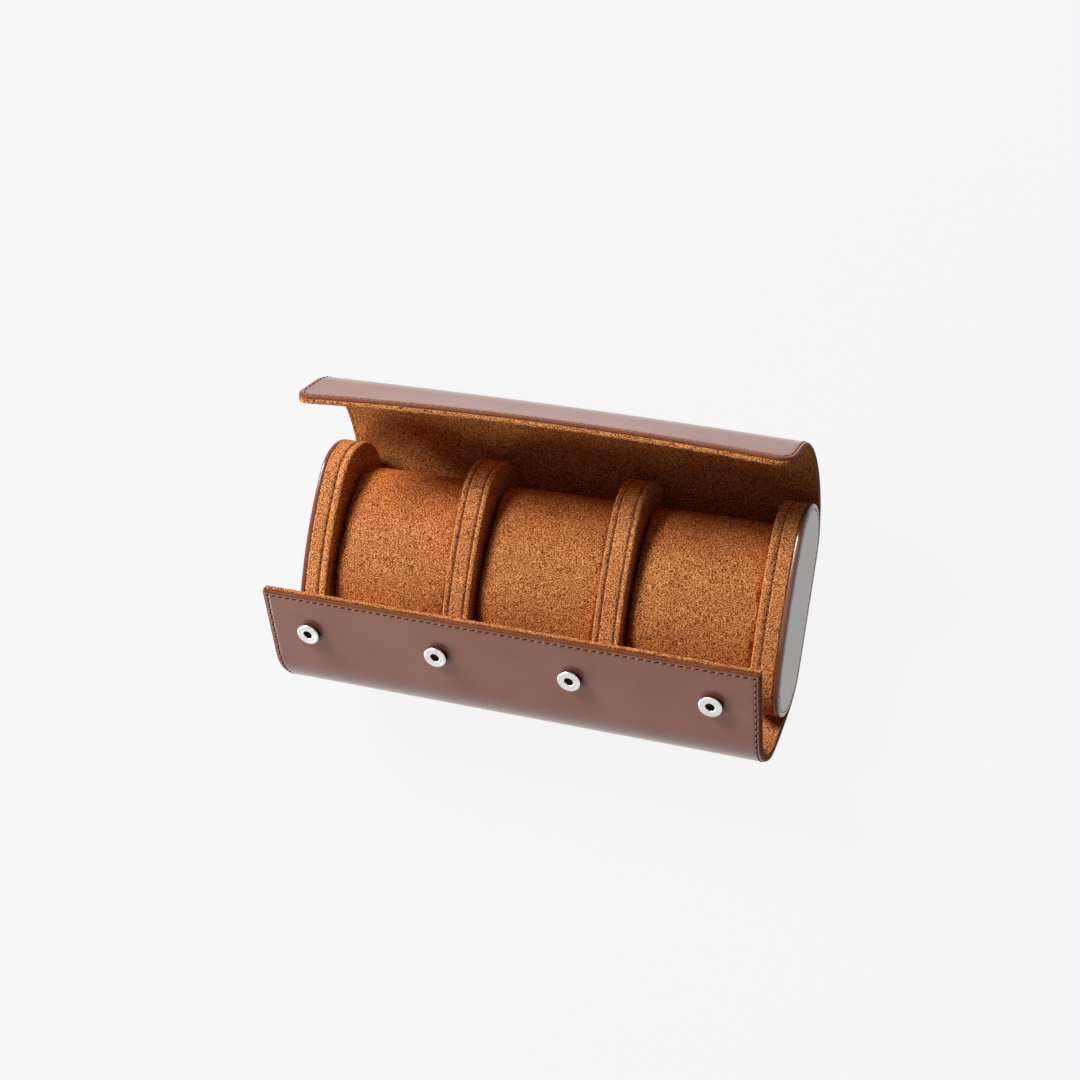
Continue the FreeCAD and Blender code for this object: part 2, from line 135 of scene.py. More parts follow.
floor_material, floor_tree, floor_shader = new_material("floor_paper")
floor_shader.inputs["Base Color"].default_value = FLOOR_TONE
floor_shader.inputs["Roughness"].default_value = 1.0
floor_shader.inputs["Specular IOR Level"].default_value = 0.0
glow = floor_tree.nodes.new("ShaderNodeEmission")
glow.inputs["Color"].default_value = FLOOR_WHITE
floor_mix = floor_tree.nodes.new("ShaderNodeMixShader")
floor_tree.links.new(shown_share(floor_tree, 0.0, WHITE_STRENGTH), floor_mix.inputs["Fac"])
floor_tree.links.new(floor_shader.outputs[0], floor_mix.inputs[1])
floor_tree.links.new(glow.outputs[0], floor_mix.inputs[2])
floor_tree.links.new(floor_mix.outputs[0], floor_tree.nodes["Material Output"].inputs["Surface"])

floor_mesh = bpy.data.meshes.new("floor")
floor_shape = bmesh.new()
bmesh.ops.create_grid(floor_shape, x_segments=1, y_segments=1, size=FLOOR_SIDE / 2)
floor_shape.to_mesh(floor_mesh)
floor_shape.free()
floor = bpy.data.objects.new("floor", floor_mesh)
floor.location.z = -FLOOR_DROP
floor_mesh.materials.append(floor_material)
scene.collection.objects.link(floor)

# Wrap leather: one smooth brown hide round the whole roll, in a rear half that ends in the lid
# and a front half that ends in the flap. Its cut edges are painted, and a line of stitches
# along them holds it to the board and the lining.
LEATHER = 0.0012
WRAP = 0.0030
HALF_FLAT = 0.0223
HUG_RADIUS = 0.0223
REAR_HUG_TURN = 32
REAR_WALL_RADIUS = 0.060
REAR_WALL_TURN = 51.5
LID_BEND_RADIUS = 0.024
LID_BEND_TURN = 29
LID_FLAT = 0.018
FRONT_HUG_TURN = 45
FRONT_WALL_RADIUS = 0.168
FRONT_WALL_TURN = 8
FLAP_BEND_RADIUS = 0.022
FLAP_BEND_TURN = 87.5
FLAP_FLAT = 0.032
REAR = 1
FRONT = -1
LID_CORNER = 0.008
FLAP_CORNER = 0.001
STITCH_INSET = 0.0020
STITCH_GROOVE = 0.00022
GROOVE_WIDTH = 0.0005
LEATHER_ROUND = 0.0022
LEATHER_FALL = 0.0008
LEATHER_BACK_ROUND = 0.0003
LEATHER_STEP = 0.0020
ROW_SHARE = 0.8
FRAY_REACH = 0.001
FRAY_SCALE = 1300
LID_BOW = 0.0015
FOLD_SKEW = 0.0024
FOLD_PLACE = 0.082
FOLD_SPREAD = 0.024
LEATHER_PALE = (0.285, 0.106, 0.068, 1.0)
LEATHER_DEEP = (0.240, 0.082, 0.050, 1.0)
CLOUD_SCALE = 38
PORE_SCALE = 2600
CREASE_SCALE = 420
EDGE_PAINT = 0.0012
PAINT_SCALE = 600
# These edge colours also serve as painted shade on the end discs' turned edges.
EDGE_DEEP = (0.150, 0.036, 0.013, 1.0)
EDGE_PALE = (0.210, 0.058, 0.023, 1.0)
EDGE_STEPS = (0.0060, 0.0048, 0.0038, 0.0030, 0.0026, 0.0023, 0.0020, 0.0017, 0.0014, 0.0010)
EDGE_STEPS += (0.0007, 0.0004, 0.0002, 0.00007, 0.0)
_, wrap_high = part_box("wrap_back_leather")
WRAP_HALF = wrap_high.x


def bend(radius, degrees):
    """Length and radius of a round stretch of the wrap."""
    return (radius * math.radians(degrees), radius)


REAR_RUNS = [
    (HALF_FLAT, 0),
    bend(HUG_RADIUS, REAR_HUG_TURN),
    bend(REAR_WALL_RADIUS, REAR_WALL_TURN),
    bend(LID_BEND_RADIUS, LID_BEND_TURN),
    (LID_FLAT, 0),
]
FRONT_RUNS = [
    (HALF_FLAT, 0),
    bend(HUG_RADIUS, FRONT_HUG_TURN),
    bend(FRONT_WALL_RADIUS, FRONT_WALL_TURN),
    bend(FLAP_BEND_RADIUS, FLAP_BEND_TURN),
    (FLAP_FLAT, 0),
]


def wrap_length(runs):
    """Length of the wrap from the back's middle to its free edge."""
    return sum(length for length, radius in runs)


def wrap_state(runs, along):
    """Place and heading of the wrap's outer face at a distance along it from the back's middle."""
    out, up, heading = 0.0, 0.0, 0.0
    for length, radius in runs:
        run = min(along, length)
        if radius:
            turned = heading + run / radius
            out += radius * (math.sin(turned) - math.sin(heading))
            up += radius * (math.cos(heading) - math.cos(turned))
            heading = turned
        else:
            out += run * math.cos(heading)
            up += run * math.sin(heading)
        along -= run
    return out, up, heading


def on_wrap(side, runs, x, along, depth):
    """Point at a depth below the wrap's outer face, and the direction that faces out there.

    The lid's edge bows a little, and the rear wall leans further back towards its left end.
    """
    out, up, heading = wrap_state(runs, along)
    outward = Vector((0, side * math.sin(heading), -math.cos(heading)))
    if side == REAR:
        out += LID_BOW * (1 - 2 * (x / WRAP_HALF) ** 2) * (along / wrap_length(runs)) ** 4
        near_fold = math.exp(-(((along - FOLD_PLACE) / FOLD_SPREAD) ** 2))
        out += FOLD_SKEW * near_fold * (1 - x / WRAP_HALF) / 2
    return Vector((x, side * out, up)) - outward * depth, outward


def from_edge(x, along, length, corner):
    """Distance from the wrap's free edge, which has two round corners."""
    past_x = abs(x) - (WRAP_HALF - corner)
    past_end = along - (length - corner)
    if past_x > 0 and past_end > 0:
        return max(0.0, corner - math.hypot(past_x, past_end))
    return max(0.0, min(WRAP_HALF - abs(x), length - along))


def row_half(along, length, corner):
    """Half the wrap's width at a distance along it."""
    past_end = min(corner, max(0.0, along - (length - corner)))
    return WRAP_HALF - corner + math.sqrt(corner ** 2 - past_end ** 2)


def stations(length, step):
    """Distances from 0 to a length, at an even step and closer together near the end."""
    plain = length - EDGE_STEPS[0]
    count = round(plain / step)
    return [plain * i / count for i in range(count)] + [length - d for d in EDGE_STEPS]


def rounded(distance, radius):
    """How far a round edge falls away, at a distance from that edge."""
    if distance >= radius:
        return 0.0
    return radius - math.sqrt(radius ** 2 - (radius - distance) ** 2)


def stitched(distance):
    """Depth of the groove that the stitches press into a face."""
    return STITCH_GROOVE * math.exp(-(((distance - STITCH_INSET) / GROOVE_WIDTH) ** 2))


def add_piece(name, mesh, *materials):
    """Object for a mesh, smooth and in the scene."""
    for material in materials:
        mesh.materials.append(material)
    mesh.polygons.foreach_set("use_smooth", [True] * len(mesh.polygons))
    piece = bpy.data.objects.new(name, mesh)
    scene.collection.objects.link(piece)
    return piece


def outward_mesh(name, points, faces, finishes=None):
    """Closed mesh whose faces all look outwards."""
    mesh = bpy.data.meshes.new(name)
    mesh.from_pydata(points, [], faces)
    if finishes:
        mesh.polygons.foreach_set("material_index", finishes)
    shape = bmesh.new()
    shape.from_mesh(mesh)
    bmesh.ops.recalc_face_normals(shape, faces=shape.faces)
    shape.to_mesh(mesh)
    shape.free()
    return mesh


def wrap_sheet(
    name, side, runs, corner, outer_depth, inner_depth, edge_width, step=LEATHER_STEP, ragged=0.0
):
    """One layer of the wrap from the back's middle to its free edge.

    Faces within edge_width of that edge take finish 1. A ragged edge frays inwards by about that value.
    """
    length = wrap_length(runs)
    rows = stations(length, step * ROW_SHARE)
    right = stations(WRAP_HALF, step)
    columns = [-x for x in reversed(right[1:])] + right
    wide = len(columns)
    points, gaps = [], []
    for depth_rule in (outer_depth, inner_depth):
        for along in rows:
            scale = row_half(along, length, corner) / WRAP_HALF
            for column in columns:
                x = column * scale
                gap = from_edge(x, along, length, corner)
                drawn = ragged * max(0.0, 1 - gap / FRAY_REACH)
                drawn *= 1 + noise.noise(Vector((x, along, side)) * FRAY_SCALE)
                place = (x * (1 - drawn / WRAP_HALF), along - drawn)
                point, _ = on_wrap(side, runs, *place, depth_rule(gap, x, along))
                points.append(point)
                gaps.append(gap)
    layer = wide * len(rows)
    faces = []
    for base in (0, layer):
        for r in range(len(rows) - 1):
            for c in range(wide - 1):
                a = base + r * wide + c
                faces.append((a, a + 1, a + wide + 1, a + wide))
    rim = list(range(wide))
    rim += [r * wide + wide - 1 for r in range(1, len(rows))]
    rim += [layer - 2 - c for c in range(wide - 1)]
    rim += [r * wide for r in range(len(rows) - 2, 0, -1)]
    for a, b in zip(rim, rim[1:] + rim[:1]):
        faces.append((a, b, b + layer, a + layer))
    finishes = [int(max(gaps[i] for i in face) < edge_width) for face in faces]
    return outward_mesh(name, points, faces, finishes)


def texture_noise(tree, scale, detail, roughness=0.5):
    """Cloudy pattern that lies in the object's own space, with scale in features per metre."""
    place = tree.nodes.new("ShaderNodeTexCoord")
    cloud = tree.nodes.new("ShaderNodeTexNoise")
    cloud.inputs["Scale"].default_value = scale
    cloud.inputs["Detail"].default_value = detail
    cloud.inputs["Roughness"].default_value = roughness
    tree.links.new(place.outputs["Object"], cloud.inputs["Vector"])
    return cloud.outputs["Fac"]


def tone_ramp(tree, source, *stops):
    """Colours along a pattern, each stop a place and a colour."""
    ramp = tree.nodes.new("ShaderNodeValToRGB")
    while len(ramp.color_ramp.elements) < len(stops):
        ramp.color_ramp.elements.new(1.0)
    for element, (place, colour) in zip(ramp.color_ramp.elements, stops):
        element.position = place
        element.color = colour
    tree.links.new(source, ramp.inputs["Fac"])
    return ramp.outputs["Color"]


def value_range(tree, source, low, high):
    """A pattern's middle values spread between two numbers."""
    spread = tree.nodes.new("ShaderNodeMapRange")
    spread.inputs["From Min"].default_value = 0.3
    spread.inputs["From Max"].default_value = 0.7
    spread.inputs["To Min"].default_value = low
    spread.inputs["To Max"].default_value = high
    tree.links.new(source, spread.inputs["Value"])
    return spread.outputs["Result"]


def add_bump(tree, shader, height, strength, distance, under=None):
    """Bump on a shader, on top of another bump if one is given."""
    bump = tree.nodes.new("ShaderNodeBump")
    bump.inputs["Strength"].default_value = strength
    bump.inputs["Distance"].default_value = distance
    tree.links.new(height, bump.inputs["Height"])
    if under:
        tree.links.new(under, bump.inputs["Normal"])
    tree.links.new(bump.outputs["Normal"], shader.inputs["Normal"])
    return bump.outputs["Normal"]


def leather_finish(name, pale, deep):
    """Smooth hide: faint clouding, fine pores and a soft sheen."""
    material, tree, shader = new_material(name)
    clouds = texture_noise(tree, CLOUD_SCALE, 4)
    pores = texture_noise(tree, PORE_SCALE, 2)
    creases = texture_noise(tree, CREASE_SCALE, 3)
    tone = tone_ramp(tree, clouds, (0.35, deep), (0.65, pale))
    tree.links.new(tone, shader.inputs["Base Color"])
    tree.links.new(value_range(tree, creases, 0.36, 0.46), shader.inputs["Roughness"])
    fine = add_bump(tree, shader, pores, 0.10, 0.0002)
    add_bump(tree, shader, creases, 0.05, 0.0004, fine)
    shader.inputs["Specular IOR Level"].default_value = 0.05
    shader.inputs["Coat Weight"].default_value = 1.0
    shader.inputs["Coat Roughness"].default_value = 0.22
    shader.inputs["Coat IOR"].default_value = 1.55
    shader.inputs["Sheen Weight"].default_value = 0.3
    shader.inputs["Sheen Roughness"].default_value = 0.35
    return material


brown_leather = leather_finish("brown_leather", LEATHER_PALE, LEATHER_DEEP)
painted_edge, paint_tree, paint_shader = new_material("painted_edge")
paint_spots = texture_noise(paint_tree, PAINT_SCALE, 2)
paint_tone = tone_ramp(paint_tree, paint_spots, (0.3, EDGE_DEEP), (0.7, EDGE_PALE))
paint_tree.links.new(paint_tone, paint_shader.inputs["Base Color"])
paint_tree.links.new(value_range(paint_tree, paint_spots, 0.5, 0.7), paint_shader.inputs["Roughness"])
paint_shader.inputs["Specular IOR Level"].default_value = 0.15


def leather_face(gap, x, along):
    """Depth of the leather's outer face, which falls away to the edge and dips at the stitches."""
    return rounded(gap, LEATHER_ROUND) * LEATHER_FALL / LEATHER_ROUND + stitched(gap)


def leather_back(gap, x, along):
    """Depth of the leather's inner face."""
    return LEATHER - rounded(gap, LEATHER_BACK_ROUND)


# Points of the profile between which each soft fold bends.
rear_bend = (Vector((0, 0.03412, 0.00339)), Vector((0, 0.06194, 0.04748)))
front_bend = (Vector((0, -0.03807, 0.00653)), Vector((0, -0.05345, 0.02422)))

rear_leather = add_piece(
    "rear_leather",
    wrap_sheet("rear_leather", REAR, REAR_RUNS, LID_CORNER, leather_face, leather_back, EDGE_PAINT),
    brown_leather,
    painted_edge,
)
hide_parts("wrap_back_leather", "rear_fold_leather", "lid_leather")
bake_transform(rear_leather)

front_leather = add_piece(
    "front_leather",
    wrap_sheet("front_leather", FRONT, FRONT_RUNS, FLAP_CORNER, leather_face, leather_back, EDGE_PAINT),
    brown_leather,
    painted_edge,
)
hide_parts("wrap_back_leather", "front_fold_leather", "front_flap_leather")
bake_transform(front_leather)

# Wrap lining: plush caramel suede over thin foam and the stiffener boards, as wide as the leather.
# Its cut edge stays open along the lid, the flap and both sides, where the pile stands out fuzzily.
SUEDE_PALE = (0.940, 0.450, 0.185, 1.0)
SUEDE_PLAIN = (0.590, 0.180, 0.048, 1.0)
SUEDE_DEEP = (0.110, 0.016, 0.002, 1.0)
SUEDE_SHEEN = (1.0, 0.45, 0.18, 1.0)
TUFT_SCALE = 2100
STROKE_SCALE = 75
STROKE_SHADE = (0.84, 0.82, 0.80, 1.0)
STROKE_PLAIN = (1.0, 1.0, 1.0, 1.0)
SUEDE_FUZZ = 0.00022
FUZZ_SCALE = 900
FUZZ_LAYER = 0.05
LINING_STEP = 0.0011
LINING_GAP = 0.00002
LINING_ROUND = 0.0005
RAGGED_EDGE = 0.00016
PILE_SPILL = 0.0008


def multiplied(tree, one, two):
    """Two colours multiplied."""
    mix = tree.nodes.new("ShaderNodeMix")
    mix.data_type = "RGBA"
    mix.blend_type = "MULTIPLY"
    mix.inputs["Factor"].default_value = 1.0
    tree.links.new(one, mix.inputs["A"])
    tree.links.new(two, mix.inputs["B"])
    return mix.outputs["Result"]


def suede_finish(name, pale, plain, deep):
    """Short brushed pile: bright and dark tufts, broad strokes of lying nap and a soft sheen."""
    material, tree, shader = new_material(name)
    tufts = texture_noise(tree, TUFT_SCALE, 3, 0.65)
    strokes = texture_noise(tree, STROKE_SCALE, 3)
    tuft_tone = tone_ramp(tree, tufts, (0.41, deep), (0.50, plain), (0.59, pale))
    stroke_tone = tone_ramp(tree, strokes, (0.3, STROKE_SHADE), (0.7, STROKE_PLAIN))
    tree.links.new(multiplied(tree, tuft_tone, stroke_tone), shader.inputs["Base Color"])
    add_bump(tree, shader, tufts, 0.9, 0.0004)
    shader.inputs["Roughness"].default_value = 0.95
    shader.inputs["Specular IOR Level"].default_value = 0.0
    shader.inputs["Sheen Weight"].default_value = 0.12
    shader.inputs["Sheen Roughness"].default_value = 0.5
    shader.inputs["Sheen Tint"].default_value = SUEDE_SHEEN
    return material


caramel_suede = suede_finish("caramel_suede", SUEDE_PALE, SUEDE_PLAIN, SUEDE_DEEP)


def fuzz(point):
    """Small uneven height of the pile at a point."""
    return SUEDE_FUZZ * noise.noise(point * FUZZ_SCALE)


def lining_back(gap, x, along):
    """Depth of the lining's glued side, just clear of the leather."""
    return LEATHER + LINING_GAP


def lining_face(gap, x, along):
    """Depth of the pile side, with its fuzz and the dip at the stitches."""
    return WRAP - rounded(gap, LINING_ROUND) - stitched(gap) + fuzz(Vector((x, along, FUZZ_LAYER)))


def lining_sheet(name, side, runs, corner):
    """Lining of one half of the wrap; its pile stands out a little past the leather's edge."""
    spilled = runs[:-1] + [(runs[-1][0] + PILE_SPILL, 0)]
    return wrap_sheet(
        name, side, spilled, corner, lining_back, lining_face, 0.0, step=LINING_STEP, ragged=RAGGED_EDGE
    )


rear_lining = add_piece(
    "rear_lining", lining_sheet("rear_lining", REAR, REAR_RUNS, LID_CORNER), caramel_suede
)
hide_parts("wrap_back_lining", "wrap_back_board", "rear_fold_lining")
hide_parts("lid_lining", "lid_board")
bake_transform(rear_lining)

front_lining = add_piece(
    "front_lining", lining_sheet("front_lining", FRONT, FRONT_RUNS, FLAP_CORNER), caramel_suede
)
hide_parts("wrap_back_lining", "wrap_back_board", "front_fold_lining")
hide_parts("front_flap_lining", "front_flap_board")
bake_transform(front_lining)

# Edge stitching of the wrap: tan lock stitches in a groove along the lid, the flap and both sides.
# Each stitch dips into a long needle hole at both ends, marked by a small dark lens of painted shade.
STITCH_PITCH = 0.0030
THREAD_SHARE = 0.56
THREAD_RADIUS = 0.00032
HOLE_HALF_LENGTH = 0.00072
HOLE_HALF_WIDTH = 0.00042
HOLE_BRIM = 0.00006
HOLE_RISE = 0.00004
HOLE_DEPTH = 0.0002
THREAD_LOOK = 0.0001
HOLE_LOOK = 0.0002
SIDE_STEPS = 90
CORNER_STEPS = 8
END_STEPS = 60
LEAST_TURN = 0.0004
TWIST_SCALE = 3000
THREAD_BROWN = (0.420, 0.190, 0.120, 1.0)
THREAD_SHADE = (0.220, 0.085, 0.050, 1.0)
HOLE_SHADE_DARK = (0.016, 0.006, 0.003, 1.0)
HOLE_SHADE_PALE = (0.030, 0.011, 0.006, 1.0)
RING_SIDES = 6
THREAD_RISE = ((0.0, -1.0), (0.14, 0.25), (0.5, 0.55), (0.86, 0.25), (1.0, -1.0))

sewing_thread, thread_tree, thread_shader = new_material("sewing_thread")
thread_twist = texture_noise(thread_tree, TWIST_SCALE, 2)
thread_tone = tone_ramp(thread_tree, thread_twist, (0.35, THREAD_SHADE), (0.65, THREAD_BROWN))
thread_tree.links.new(thread_tone, thread_shader.inputs["Base Color"])
thread_shader.inputs["Roughness"].default_value = 0.7
thread_shader.inputs["Specular IOR Level"].default_value = 0.1
# Painted shade for the needle holes: a near-black material.
painted_hole_shade, hole_tree, hole_shader = new_material("painted_hole_shade")
hole_tone = tone_ramp(
    hole_tree, texture_noise(hole_tree, 2000, 1), (0.3, HOLE_SHADE_DARK), (0.7, HOLE_SHADE_PALE)
)
hole_tree.links.new(hole_tone, hole_shader.inputs["Base Color"])
hole_shader.inputs["Roughness"].default_value = 1.0
hole_shader.inputs["Specular IOR Level"].default_value = 0.0


def along_line(line):
    """Function that gives the point and outward direction at a distance along a line, and its length."""
    marks = [0.0]
    for (a, _), (b, _) in zip(line, line[1:]):
        marks.append(marks[-1] + (b - a).length)

    def at(distance):
        low, high = 0, len(marks) - 1
        while high - low > 1:
            middle = (low + high) // 2
            if marks[middle] <= distance:
                low = middle
            else:
                high = middle
        span = max(marks[high] - marks[low], 1e-9)
        part = min(1.0, max(0.0, (distance - marks[low]) / span))
        point = line[low][0].lerp(line[high][0], part)
        outward = line[low][1].lerp(line[high][1], part).normalized()
        return point, outward

    return at, marks[-1]


def ring_of(shape, centre, first, second, one_radius, two_radius):
    """Ring of points round a centre, with a radius for each of its two directions."""
    turns = [2 * math.pi * i / RING_SIDES for i in range(RING_SIDES)]
    return [
        shape.verts.new(centre + first * math.cos(t) * one_radius + second * math.sin(t) * two_radius)
        for t in turns
    ]


def join_rings(shape, one, two, finish):
    """Band of faces between two rings."""
    for i in range(len(one)):
        j = (i + 1) % len(one)
        shape.faces.new((one[i], one[j], two[j], two[i])).material_index = finish


def sew(name, line, pitch, radius, share, thread, hole, hole_scale=1.0):
    """Row of stitches along a line of points and outward directions."""
    at, length = along_line(line)
    count = round(length / pitch)
    step = length / count
    shape = bmesh.new()
    for i in range(count):
        start = (i + (1 - share) / 2) * step
        rings = []
        for part, rise in THREAD_RISE:
            place = start + part * share * step
            point, outward = at(place)
            ahead, _ = at(place + THREAD_LOOK)
            behind, _ = at(place - THREAD_LOOK)
            across = outward.cross(ahead - behind).normalized()
            centre = point + outward * rise * radius
            rings.append(ring_of(shape, centre, across, outward, radius, radius))
        for one, two in zip(rings, rings[1:]):
            join_rings(shape, one, two, 0)
        shape.faces.new(rings[0][::-1])
        shape.faces.new(rings[-1])
        point, outward = at(i * step)
        ahead, _ = at(i * step + HOLE_LOOK)
        across = outward.cross(ahead - point).normalized()
        if across.length < 0.5:
            continue
        onward = across.cross(outward)
        # Painted shade: a dark lens, standing a little proud of the face, marks the needle hole.
        brim = point + outward * HOLE_BRIM
        half_width, half_length = HOLE_HALF_WIDTH * hole_scale, HOLE_HALF_LENGTH * hole_scale
        around = ring_of(shape, brim, across, onward, half_width, half_length)
        top = shape.verts.new(brim + outward * HOLE_RISE)
        bottom = shape.verts.new(brim - outward * HOLE_DEPTH)
        for a, b in zip(around, around[1:] + around[:1]):
            shape.faces.new((a, b, top)).material_index = 1
            shape.faces.new((b, a, bottom)).material_index = 1
    bmesh.ops.recalc_face_normals(shape, faces=shape.faces)
    mesh = bpy.data.meshes.new(name)
    shape.to_mesh(mesh)
    shape.free()
    return add_piece(name, mesh, thread, hole)


def edge_line(side, runs, corner):
    """Stitch line a little inside the wrap's free edge, from one side of the back to the other."""
    length = wrap_length(runs)
    wide = WRAP_HALF - STITCH_INSET
    end = length - STITCH_INSET
    turn = max(corner - STITCH_INSET, LEAST_TURN)
    flat = [(wide, (end - turn) * i / SIDE_STEPS) for i in range(SIDE_STEPS)]
    for i in range(CORNER_STEPS + 1):
        angle = math.pi / 2 * i / CORNER_STEPS
        flat.append((wide - turn + turn * math.cos(angle), end - turn + turn * math.sin(angle)))
    flat += [((wide - turn) * (1 - i / END_STEPS), end) for i in range(1, END_STEPS + 1)]
    flat += [(-x, along) for x, along in reversed(flat[:-1])]
    return [on_wrap(side, runs, x, along, STITCH_GROOVE) for x, along in flat]


for name, side, runs, corner, end_body, limits in (
    ("lid", REAR, REAR_RUNS, LID_CORNER, "lid", rear_bend),
    ("flap", FRONT, FRONT_RUNS, FLAP_CORNER, "front_flap", front_bend),
):
    row = sew(
        name + "_edge_stitches",
        edge_line(side, runs, corner),
        STITCH_PITCH,
        THREAD_RADIUS,
        THREAD_SHARE,
        sewing_thread,
        painted_hole_shade,
    )
    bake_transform(row)

# Snap fasteners: four nickel-plated sockets riveted through the flap's leather, and four studs in
# the lid's lining. Each is pressed and rolled from sheet metal. Sections hold radius, height and finish.
SNAP_COUNT = 4
SNAP_SPACING = 0.0544
SOCKET_FROM_EDGE = 0.017
STUD_FROM_EDGE = 0.008
SNAP_SIDES = 48
NICKEL = (0.80, 0.80, 0.79, 1.0)
NICKEL_WORN = (0.62, 0.61, 0.60, 1.0)
# Finish 1 is painted shade: the socket's bore and the outer wall and underside of its flange are coloured
# dark.
BORE_SHADE_DEEP = (0.036, 0.015, 0.009, 1.0)
BORE_SHADE_PALE = (0.070, 0.032, 0.019, 1.0)
SOCKET_SECTION = (
    (0.0000, 0.0005, 1),
    (0.0017, 0.0005, 1),
    (0.0018, 0.0007, 1),
    (0.0018, 0.0017, 1),
    (0.0018, 0.0022, 0),
    (0.0020, 0.00238, 0),
    (0.0024, 0.00242, 0),
    (0.0027, 0.00236, 0),
    (0.0032, 0.00236, 0),
    (0.0036, 0.00246, 0),
    (0.0040, 0.00250, 0),
    (0.0043, 0.00240, 0),
    (0.0045, 0.00215, 0),
    (0.0046, 0.00190, 0),
    (0.0045, 0.00160, 1),
    (0.0043, 0.00120, 1),
    (0.0042, 0.00070, 1),
    (0.0042, -0.0001, 1),
    (0.0000, -0.0001, 0),
)
STUD_SECTION = (
    (0.0000, -0.0001, 0),
    (0.0042, -0.0001, 0),
    (0.0042, 0.0003, 0),
    (0.0040, 0.0006, 0),
    (0.0034, 0.0007, 0),
    (0.0017, 0.0007, 0),
    (0.0014, 0.0009, 0),
    (0.0013, 0.0011, 0),
    (0.0014, 0.0015, 0),
    (0.00145, 0.0018, 0),
    (0.0013, 0.0021, 0),
    (0.0009, 0.0023, 0),
    (0.0000, 0.00235, 0),
)

bright_nickel, nickel_tree, nickel_shader = new_material("bright_nickel")
nickel_wear = texture_noise(nickel_tree, 900, 3)
nickel_tone = tone_ramp(nickel_tree, nickel_wear, (0.3, NICKEL_WORN), (0.6, NICKEL))
nickel_tree.links.new(nickel_tone, nickel_shader.inputs["Base Color"])
nickel_polish = value_range(nickel_tree, nickel_wear, 0.30, 0.18)
nickel_tree.links.new(nickel_polish, nickel_shader.inputs["Roughness"])
add_bump(nickel_tree, nickel_shader, texture_noise(nickel_tree, 1500, 2), 0.06, 0.0002)
nickel_shader.inputs["Metallic"].default_value = 1.0

# Painted shade for the socket's bore and the lower side of its flange.
painted_shade_bore, bore_tree, bore_shader = new_material("painted_shade_bore")
bore_tone = tone_ramp(bore_tree, texture_noise(bore_tree, 1200, 2), (0.3, BORE_SHADE_DEEP), (0.7, BORE_SHADE_PALE))
bore_tree.links.new(bore_tone, bore_shader.inputs["Base Color"])
bore_shader.inputs["Roughness"].default_value = 0.5
bore_shader.inputs["Specular IOR Level"].default_value = 0.1


def turned_piece(name, section, foot, outward, *materials):
    """Round piece with a section of (radius, height, finish), standing square to the face at its foot."""
    first = Vector((1, 0, 0))
    second = outward.cross(first)
    points, faces, rings, finishes = [], [], [], []
    for radius, height, _ in section:
        centre = foot + outward * height
        if radius == 0:
            rings.append([len(points)])
            points.append(centre)
            continue
        rings.append(list(range(len(points), len(points) + SNAP_SIDES)))
        for i in range(SNAP_SIDES):
            turn = 2 * math.pi * i / SNAP_SIDES
            points.append(centre + (first * math.cos(turn) + second * math.sin(turn)) * radius)
    for one, two, (_, _, finish) in zip(rings, rings[1:], section[1:]):
        for i in range(SNAP_SIDES):
            j = (i + 1) % SNAP_SIDES
            corners = [one[i % len(one)], one[j % len(one)], two[j % len(two)], two[i % len(two)]]
            faces.append(tuple(dict.fromkeys(corners)))
            finishes.append(finish)
    return add_piece(name, outward_mesh(name, points, faces, finishes), *materials)


for number in range(SNAP_COUNT):
    x = (number - (SNAP_COUNT - 1) / 2) * SNAP_SPACING
    foot, outward = on_wrap(FRONT, FRONT_RUNS, x, wrap_length(FRONT_RUNS) - SOCKET_FROM_EDGE, 0.0)
    socket = turned_piece(
        "snap_socket_%d" % (number + 1), SOCKET_SECTION, foot, outward, bright_nickel, painted_shade_bore
    )
    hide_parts("snap_sockets")
    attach(socket, "front_flap")
    foot, outward = on_wrap(REAR, REAR_RUNS, x, wrap_length(REAR_RUNS) - STUD_FROM_EDGE, WRAP)
    stud = turned_piece("snap_stud_%d" % (number + 1), STUD_SECTION, foot, -outward, bright_nickel)
    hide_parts("snap_studs")
    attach(stud, "lid")
for hidden_rivets in ("snap_socket_rivets", "snap_stud_rivets"):
    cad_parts[hidden_rivets].data.materials.clear()
    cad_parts[hidden_rivets].data.materials.append(bright_nickel)

# End discs: each end of the tray is closed by a board covered in the same leather, turned over its edge;
# the turned edge is coloured darker and redder as painted shade.
# A row of small stitches runs round the face, in thread coloured paler than the wrap's as a painted
# reflection.
OVAL_HALF = 0.0413
OVAL_DEPTH = 0.040
OVAL_ROUND = 0.019
OVAL_STEP = 0.0011
FULL_INSET = 0.012
POLE_INSET = 0.019
DISC_EDGE = 0.0023
DISC_ROUND = 0.0009
DISC_BACK_ROUND = 0.0003
DISC_RINGS = (0.018, 0.0150, 0.0120, 0.0080, 0.0050, 0.0038)
DISC_BACK_RINGS = (0.0120, 0.018)
DISC_SEAM_STEP = 0.0003
DISC_HOLE_SCALE = 0.25
DISC_STITCH = 0.0020
DISC_SEAM_DEPTH = 0.00028
DISC_THREAD_RADIUS = 0.00022
# Painted reflection: the disc thread is coloured paler than the wrap's thread.
DISC_THREAD = (0.560, 0.400, 0.330, 1.0)
DISC_THREAD_SHADE = (0.380, 0.240, 0.180, 1.0)
tray_low, tray_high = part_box("right_end_leather")
TRAY_FLOOR = tray_low.z
TRAY_END = tray_high.x


